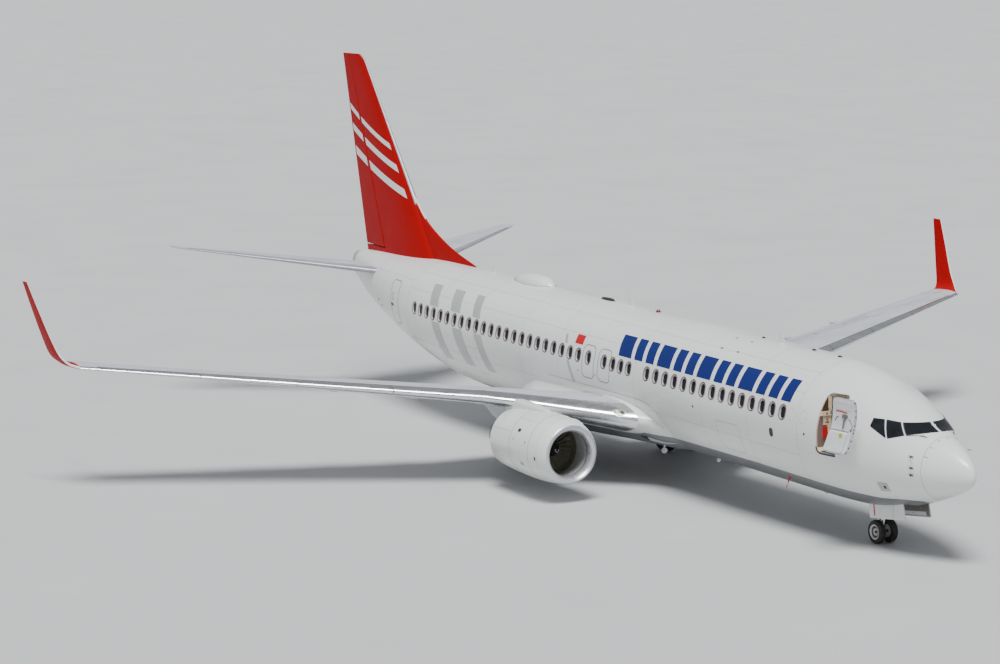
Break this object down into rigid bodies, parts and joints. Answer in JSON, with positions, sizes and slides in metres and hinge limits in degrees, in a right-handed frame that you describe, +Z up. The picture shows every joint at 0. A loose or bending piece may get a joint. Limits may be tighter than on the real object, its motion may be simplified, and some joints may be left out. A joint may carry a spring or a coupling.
{
  "type": "narrow-body airliner",
  "caption": "Twin-jet narrow-body airliner parked on its wheels, with swept wings, raised wing tips, engines under the wings and an open front service door.",
  "frame": {"origin": "on the ground, midway between the nose tip and the aftmost points of the tailplane, on the plane of symmetry", "axes": "+X towards the nose, +Y towards the left wing tip, +Z up"},
  "size_m": [39.469, 35.763, 12.595],
  "materials": {
    "white_paint": "gloss white",
    "grey_paint": "satin light grey",
    "red_paint": "gloss red",
    "polished_metal": "polished",
    "hot_metal": "heat-stained",
    "fan_metal": "dark satin",
    "cockpit_glass": "tinted",
    "tyre": "black rubber",
    "gear_paint": "gloss light grey"
  },
  "bodies": {
    "airframe": {"radome": "white_paint", "fuselage_nose": "white_paint", "fuselage_forward": "white_paint", "fuselage_centre": "white_paint", "fuselage_aft": "white_paint", "tail_cone": "white_paint", "apu_exhaust": "grey_paint", "cockpit_glazing": "cockpit_glass", "wing_body_fairing": "white_paint", "slat_left": "polished_metal", "flap_inboard_left": "grey_paint", "flap_outboard_left": "grey_paint", "wing_left": "grey_paint", "winglet_left": "red_paint", "engine_inlet_left": "white_paint", "fan_cowl_left": "white_paint", "reverser_sleeve_left": "white_paint", "engine_core_left": "hot_metal", "pylon_left": "white_paint", "main_gear_leg_left": "gear_paint", "stabiliser_left": "grey_paint", "nose_gear_door_left": "grey_paint", "slat_right": "polished_metal", "flap_inboard_right": "grey_paint", "flap_outboard_right": "grey_paint", "wing_right": "grey_paint", "winglet_right": "red_paint", "engine_inlet_right": "white_paint", "fan_cowl_right": "white_paint", "reverser_sleeve_right": "white_paint", "engine_core_right": "hot_metal", "pylon_right": "white_paint", "main_gear_leg_right": "gear_paint", "stabiliser_right": "grey_paint", "nose_gear_door_right": "grey_paint", "fin": "red_paint", "nose_gear_strut": "gear_paint", "door_front_right": "white_paint", "antenna_dome": "white_paint"},
    "nose_fork": {"nose_gear_fork": "polished_metal"},
    "nose_wheels": {"nose_tyre_left": "tyre", "nose_hub_left": "gear_paint", "nose_tyre_right": "tyre", "nose_hub_right": "gear_paint"},
    "main_wheels_left": {"main_left_tyre_left": "tyre", "main_left_hub_left": "gear_paint", "main_left_tyre_right": "tyre", "main_left_hub_right": "gear_paint"},
    "fan_rotor_left": {"fan_left": "fan_metal"},
    "aileron_left_body": {"aileron_left": "grey_paint"},
    "elevator_left_body": {"elevator_left": "grey_paint"},
    "main_wheels_right": {"main_right_tyre_left": "tyre", "main_right_hub_left": "gear_paint", "main_right_tyre_right": "tyre", "main_right_hub_right": "gear_paint"},
    "fan_rotor_right": {"fan_right": "fan_metal"},
    "aileron_right_body": {"aileron_right": "grey_paint"},
    "elevator_right_body": {"elevator_right": "grey_paint"},
    "rudder_body": {"rudder": "red_paint"}
  },
  "joints": [
    {"name": "nose_steering", "type": "hinge", "parent": "airframe", "child": "nose_fork", "pos_m": [15.585, 0, 0.343], "axis": [0, 0, 1], "range_deg": [-78, 78]},
    {"name": "nose_wheel_roll", "type": "hinge", "parent": "nose_fork", "child": "nose_wheels", "pos_m": [15.585, 0, 0.343], "axis": [0, 1, 0], "continuous": true},
    {"name": "main_wheel_roll_left", "type": "hinge", "parent": "airframe", "child": "main_wheels_left", "pos_m": [-0.015, 2.86, 0.565], "axis": [0, 1, 0], "continuous": true},
    {"name": "fan_turn_left", "type": "hinge", "parent": "airframe", "child": "fan_rotor_left", "pos_m": [4.815, 4.837, 1.526], "axis": [1, 0, 0], "continuous": true},
    {"name": "main_wheel_roll_right", "type": "hinge", "parent": "airframe", "child": "main_wheels_right", "pos_m": [-0.015, -2.86, 0.565], "axis": [0, 1, 0], "continuous": true},
    {"name": "fan_turn_right", "type": "hinge", "parent": "airframe", "child": "fan_rotor_right", "pos_m": [4.815, -4.837, 1.526], "axis": [1, 0, 0], "continuous": true},
    {"name": "aileron_right_hinge", "type": "hinge", "parent": "airframe", "child": "aileron_right_body", "pos_m": [-2.89447, -12.7, 3.47356], "axis": [0.3296, 0.9382, -0.1056], "range_deg": [-20, 20]},
    {"name": "aileron_left_hinge", "type": "hinge", "parent": "airframe", "child": "aileron_left_body", "pos_m": [-2.89447, 12.7, 3.47356], "axis": [-0.3296, 0.9382, 0.1056], "range_deg": [-20, 20]},
    {"name": "elevator_left_hinge", "type": "hinge", "parent": "airframe", "child": "elevator_left_body", "pos_m": [-16.96788, 0.9, 4.82194], "axis": [-0.3711, 0.9216, 0.1137], "range_deg": [-20, 20]},
    {"name": "elevator_right_hinge", "type": "hinge", "parent": "airframe", "child": "elevator_right_body", "pos_m": [-16.96788, -0.9, 4.82194], "axis": [0.3711, 0.9216, -0.1137], "range_deg": [-20, 20]},
    {"name": "rudder_hinge", "type": "hinge", "parent": "airframe", "child": "rudder_body", "pos_m": [-15.63748, 0, 5.47], "axis": [-0.4058, 0, 0.914], "range_deg": [-27, 27]}
  ],
  "couplings": [
    {"joint": "aileron_left_hinge", "follows": "aileron_right_hinge", "ratio": -1},
    {"joint": "elevator_right_hinge", "follows": "elevator_left_hinge", "ratio": 1}
  ]
}
